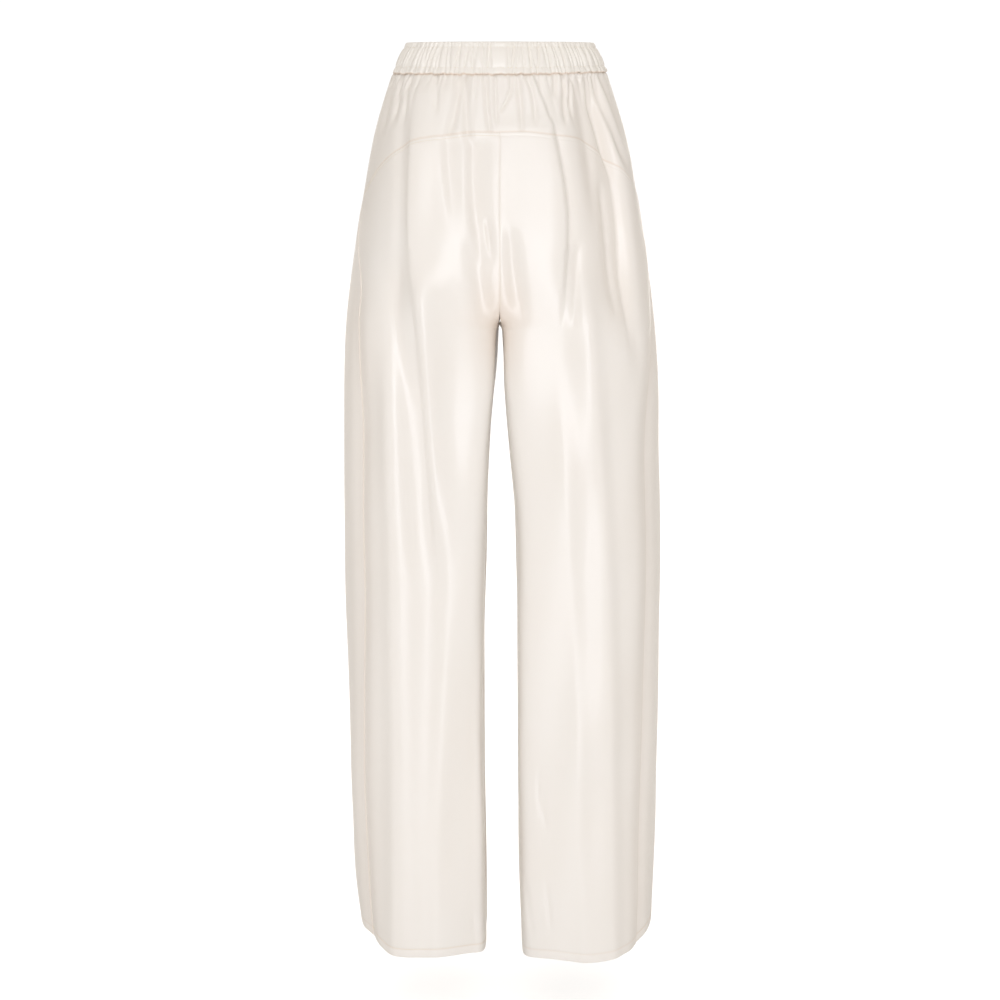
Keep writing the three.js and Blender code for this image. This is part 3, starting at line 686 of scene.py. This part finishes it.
# Waistband: a casing of the satin folded over 24 mm elastic, which draws it into fine uneven
# gathers. Two rows of stitching hold the elastic and leave a small frill above and below. The strip
# runs up the inside, over the top and down the outside, and is open at the waist seam.
CASING_COLUMNS = 1400
CASING_CLOTH = 0.35
CasingRow = namedtuple("CasingRow", "drop swell crease frill")
CASING_OUTSIDE = [
    CasingRow(0.0, -0.6, 0.2, 0.5),
    CasingRow(0.5, 0.2, 0.4, 0.9),
    CasingRow(2.0, 0.6, 0.6, 1.0),
    CasingRow(4.0, 0.5, 0.7, 0.7),
    CasingRow(5.6, -0.1, 0.7, 0.2),
    CasingRow(6.4, -0.2, 0.7, 0.1),
    CasingRow(8.0, 0.7, 1.0, 0.0),
    CasingRow(11.0, 1.3, 1.1, 0.0),
    CasingRow(15.0, 1.6, 1.15, 0.0),
    CasingRow(19.0, 1.7, 1.15, 0.0),
    CasingRow(23.0, 1.5, 1.1, 0.0),
    CasingRow(26.5, 1.1, 1.0, 0.0),
    CasingRow(29.0, 0.2, 0.7, 0.1),
    CasingRow(30.0, -0.1, 0.6, 0.2),
    CasingRow(31.0, 0.3, 0.6, 0.3),
    CasingRow(33.5, 0.9, 0.6, 0.7),
    CasingRow(35.8, 0.9, 0.6, 1.0),
    CasingRow(37.2, 0.3, 0.5, 0.9),
    CasingRow(37.9, -0.8, 0.3, 0.4),
]
CASING_INSIDE = [
    CasingRow(37.6, -1.9, 0.2, 0.2),
    CasingRow(30.0, -2.0, 0.2, 0.0),
    CasingRow(19.0, -2.3, 0.3, 0.0),
    CasingRow(6.0, -2.0, 0.2, 0.0),
    CasingRow(0.6, -1.7, 0.2, 0.3),
]
CASING_SEED = 5
CASING_CREASES = 122
FRILL_CREASES = 150
FRILL_WIDTH = 0.011
PATCH_MIDDLE, PATCH_HALF, PATCH_CALM, PATCH_EDGE = -1.56, 0.06, 0.93, 1.5


def crease_angles(count, chance):
    return (np.arange(count) + chance.uniform(-0.36, 0.36, count)) * 2 * math.pi / count - math.pi


def around(angles, middles):
    return np.mod(angles[:, None] - middles + math.pi, 2 * math.pi) - math.pi


def casing_heights():
    """How far each ring of the casing stands out, at each of its angles."""
    chance = np.random.default_rng(CASING_SEED)
    creases = crease_angles(CASING_CREASES, chance)
    slant = chance.uniform(-0.03, 0.03, CASING_CREASES)
    depth = chance.uniform(1.0, 3.0, CASING_CREASES)
    width = chance.uniform(0.011, 0.018, CASING_CREASES)
    ruffles = crease_angles(FRILL_CREASES, chance)
    ruffle_depth = chance.uniform(0.4, 1.3, FRILL_CREASES)
    calm = 1 - PATCH_CALM * smooth(PATCH_EDGE - np.abs(casing_angles - PATCH_MIDDLE) / PATCH_HALF)
    rings = []
    for ring in casing_rings:
        tall = (ring.drop - WAIST_SEAM / 2) / (WAIST_SEAM / 2)
        crease = (depth * bell(around(casing_angles, creases + slant * tall), width)).sum(axis=1)
        ruffle = (ruffle_depth * bell(around(casing_angles, ruffles), FRILL_WIDTH)).sum(axis=1)
        rings.append(ring.swell - (ring.crease * crease + ring.frill * ruffle) * calm)
    return np.array(rings)


casing_angles = np.linspace(-math.pi, math.pi, CASING_COLUMNS, endpoint=False)
casing_rings = CASING_INSIDE + CASING_OUTSIDE
heights = casing_heights()
ring_drops = np.array([ring.drop for ring in casing_rings])
first_outside = len(CASING_INSIDE)


def casing_place(column, row):
    angle = casing_angles[column % CASING_COLUMNS]
    out = heights[row, column % CASING_COLUMNS]
    drop = ring_drops[row]
    width = curve(SECTIONS, "left", drop) + out
    depth = np.where(angle < 0, curve(SECTIONS, "back", drop), curve(SECTIONS, "front", drop)) + out
    across, out = section(angle, drop)
    x, y = width * across, np.sign(angle) * depth * out
    risen = drop * (1 - waist_rise(x) / WAIST_SEAM)
    # Painted shade along the waist seam, on the outside of the casing only
    shade = WAIST_PAINTED_SHADE * bell(WAIST_SEAM - drop, PAINTED_SHADE_WIDTH) * (row >= first_outside)
    return np.stack([x, y, WAIST_EDGE - risen], axis=-1), shade


bm = laid_grid(CASING_COLUMNS, len(casing_rings) - 1, casing_place)
bmesh.ops.remove_doubles(bm, verts=bm.verts, dist=0.01 * MM)
bmesh.ops.recalc_face_normals(bm, faces=bm.faces)
casing = finish_cloth("waistband_casing", bm, CASING_CLOTH)
CASING_IVORY, DEEP_CASING_IVORY = "#FCFAF6", "#FAF7F0"
casing.data.materials.append(silk_satin("gathered_ivory_satin", CASING_IVORY, DEEP_CASING_IVORY))
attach(casing, "root")
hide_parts("waistband")


# Topstitching: ivory silk thread in lockstitch. Two rows hold the yoke seam down, one holds each hem
# and two hold the elastic in its casing. Each stitch is a small rounded bar sunk in the satin.
STITCH_PITCH, STITCH_LENGTH, STITCH_WIDTH, STITCH_RISE = 3.2, 2.5, 0.6, 0.5
STITCH_SINK = 0.12
YOKE_STITCHES = [1.5, YOKE_STITCH]
CASING_STITCH_ROWS = [first_outside + 5, first_outside + 13]
ROW_STEPS = 400


def stitch_row(rows, points, raised_points):
    """Adds a row of stitches along a line of points, given also the same points moved out."""
    bm = bmesh.new()
    along = np.concatenate([[0], np.cumsum(np.linalg.norm(np.diff(points, axis=0), axis=1))])

    def read_at(line, place):
        return mathutils.Vector([np.interp(place, along, line[:, axis]) for axis in range(3)])

    for place in np.arange(STITCH_PITCH / 2, along[-1] - STITCH_PITCH / 2, STITCH_PITCH):
        start, end = (read_at(points, place + reach) for reach in (-STITCH_LENGTH / 2, STITCH_LENGTH / 2))
        forward = (end - start).normalized()
        outward = read_at(raised_points, place) - read_at(points, place)
        across = outward.cross(forward).normalized()
        outward = forward.cross(across)
        size = (across * STITCH_WIDTH / 2, outward * STITCH_RISE / 2, forward * STITCH_LENGTH / 2)
        turned = mathutils.Matrix([vector * MM for vector in size]).transposed().to_4x4()
        turned.translation = (start + end) / 2 * MM
        bmesh.ops.create_uvsphere(bm, u_segments=6, v_segments=4, radius=1, matrix=turned)
    row = bpy.data.meshes.new("stitch_row")
    bm.to_mesh(row)
    bm.free()
    rows.from_mesh(row)
    bpy.data.meshes.remove(row)


def cloth_row(rows, half, turn, drop):
    sunk, raised_points = (cloth_point(half, turn, drop, lift - STITCH_SINK) for lift in (0, 1))
    stitch_row(rows, sunk, raised_points)


def sewn_thread(name, bm):
    bmesh.ops.recalc_face_normals(bm, faces=bm.faces)
    mesh = bpy.data.meshes.new(name)
    bm.to_mesh(mesh)
    bm.free()
    mesh.polygons.foreach_set("use_smooth", [True] * len(mesh.polygons))
    thread = bpy.data.objects.new(name, mesh)
    bpy.context.scene.collection.objects.link(thread)
    thread.data.materials.append(silk_thread)
    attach(thread, "root")


silk_thread = bpy.data.materials.new("ivory_silk_thread")
silk_thread.use_nodes = True
tree = silk_thread.node_tree
tree.nodes.clear()
place = add_node(tree, "ShaderNodeTexCoord").outputs["Object"]
dye = add_node(tree, "ShaderNodeTexNoise", links={"Vector": place, "Scale": 60.0, "Detail": 1.0})
tint = add_node(tree, "ShaderNodeMix", {"data_type": "RGBA"},
                {"Factor": dye.outputs["Fac"], "A": linear("#F8F1E4"), "B": linear("#EFE2CC")})
ply = add_node(tree, "ShaderNodeTexNoise", links={"Vector": place, "Scale": 2400.0, "Detail": 1.0})
twist = add_node(tree, "ShaderNodeBump", links={"Height": ply.outputs["Fac"], "Strength": 0.2,
                                               "Distance": 0.0003})
shader = add_node(tree, "ShaderNodeBsdfPrincipled", links={
    "Base Color": tint.outputs["Result"],
    "Roughness": 0.5,
    "IOR": 1.55,
    "Sheen Weight": 0.2,
    "Normal": twist.outputs["Normal"],
})
add_node(tree, "ShaderNodeOutputMaterial", links={"Surface": shader.outputs["BSDF"]})

share = np.linspace(0, 1, ROW_STEPS)
yoke_rows = bmesh.new()
for half in (-1, 1):
    for below in YOKE_STITCHES:
        drop = curve(YOKE_SEAM, "drop", share) + below
        cloth_row(yoke_rows, half, turn_at(half, BACK, share, drop), drop)
sewn_thread("yoke_topstitching", yoke_rows)

hem_rows = bmesh.new()
for half in (-1, 1):
    for face in (BACK, FRONT):
        drop = HEM - HEM_TURN_UP + 0 * share
        turn = turn_at(half, face, share, drop)
        cloth_row(hem_rows, half, turn, hem_drop(half, turn, drop))
sewn_thread("hem_topstitching", hem_rows)

casing_rows = bmesh.new()
column = np.arange(CASING_COLUMNS + 1)
for row in CASING_STITCH_ROWS:
    around_waist = casing_place(column, np.full_like(column, row))[0]
    outward = around_waist * (1, 1, 0)
    outward /= np.linalg.norm(outward, axis=1, keepdims=True)
    stitch_row(casing_rows, around_waist - STITCH_SINK * outward, around_waist + outward)
sewn_thread("casing_topstitching", casing_rows)


# Floor: a plain white studio floor, a little below the hems. It is matt, and pale enough to run
# into the white surround.
FLOOR_DROP = 1190.0
FLOOR_RADIUS = 12.0
bm = bmesh.new()
bmesh.ops.create_circle(bm, cap_ends=True, segments=96, radius=FLOOR_RADIUS)
bmesh.ops.translate(bm, verts=bm.verts, vec=(0, 0, (WAIST_EDGE - FLOOR_DROP) * MM))
mesh = bpy.data.meshes.new("studio_floor")
bm.to_mesh(mesh)
bm.free()
floor = bpy.data.objects.new("studio_floor", mesh)
bpy.context.scene.collection.objects.link(floor)
matt_paint = bpy.data.materials.new("matt_white_paint")
matt_paint.use_nodes = True
tree = matt_paint.node_tree
tree.nodes.clear()
ray = add_node(tree, "ShaderNodeLightPath")
paint = add_node(tree, "ShaderNodeBsdfDiffuse", links={"Color": linear("#F2F2F2")})
whitening = add_node(tree, "ShaderNodeEmission", links={"Color": linear("#FFFFFF"), "Strength": 0.62})
seen = add_node(tree, "ShaderNodeAddShader", links={0: paint.outputs[0], 1: whitening.outputs[0]})
mixed = add_node(tree, "ShaderNodeMixShader", links={0: ray.outputs["Is Camera Ray"], 1: paint.outputs[0],
                                                     2: seen.outputs[0]})
add_node(tree, "ShaderNodeOutputMaterial", links={"Surface": mixed.outputs[0]})
floor.data.materials.append(matt_paint)


# Light: a tall cool soft box low in front, a weaker one behind, and a pale surround that is darker
# to the two sides, as dark flags beside the garment would make it.
def soft_box(name, place, target, size, power_watts, colour):
    data = bpy.data.lights.new(name, "AREA")
    data.shape = "RECTANGLE"
    data.size, data.size_y = size
    data.energy = power_watts
    data.color = linear(colour)[:3]
    box = bpy.data.objects.new(name, data)
    box.location = place
    to_target = [t - p for t, p in zip(target, place)]
    box.rotation_euler = mathutils.Vector(to_target).to_track_quat("-Z", "Y").to_euler()
    box.visible_camera = False
    bpy.context.scene.collection.objects.link(box)


MIDDLE = (0, 0, -0.55)
soft_box("key_light", (-0.1, -3.4, -0.85), (0, 0, -0.7), (1.0, 2.6), 47, "#EFF4FF")
soft_box("back_box", (0.5, 3.2, 0.3), MIDDLE, (1.4, 2.0), 12, "#FFFFFF")

SURROUND, SIDE_FLAGS = 0.85, 0.62
world = bpy.data.worlds.new("pale_surround")
bpy.context.scene.world = world
world.use_nodes = True
tree = world.node_tree
tree.nodes.clear()
seen = add_node(tree, "ShaderNodeBackground", links={"Color": linear("#FFFFFF"), "Strength": 1.05})
sky = add_node(tree, "ShaderNodeTexCoord").outputs["Generated"]
to_side = add_node(tree, "ShaderNodeSeparateXYZ", links={0: sky}).outputs["X"]
squared = add_node(tree, "ShaderNodeMath", {"operation": "POWER"}, {0: to_side, 1: 2.0}).outputs[0]
flagged = add_node(tree, "ShaderNodeMath", {"operation": "MULTIPLY_ADD"},
                   {0: squared, 1: -SIDE_FLAGS * SURROUND, 2: SURROUND}).outputs[0]
lit = add_node(tree, "ShaderNodeBackground", links={"Color": linear("#FFF7EE"), "Strength": flagged})
ray = add_node(tree, "ShaderNodeLightPath")
mixed = add_node(tree, "ShaderNodeMixShader", links={0: ray.outputs["Is Camera Ray"], 1: lit.outputs[0],
                                                     2: seen.outputs[0]})
add_node(tree, "ShaderNodeOutputWorld", links={"Surface": mixed.outputs[0]})
bpy.context.scene.view_settings.view_transform = "Standard"

# Camera: at waist height, tilted down, as in the photograph.
CAMERA_AWAY = 2900.0
CAMERA_DROP = 60.0
CAMERA_TILT = 9.757
lens = bpy.data.cameras.new("camera")
lens.sensor_width = 36
lens.lens = 85.13
camera = bpy.data.objects.new("camera", lens)
camera.location = (0, -CAMERA_AWAY * MM, (WAIST_EDGE - CAMERA_DROP) * MM)
camera.rotation_euler = (math.radians(90 - CAMERA_TILT), 0, 0)
bpy.context.scene.collection.objects.link(camera)
bpy.context.scene.camera = camera
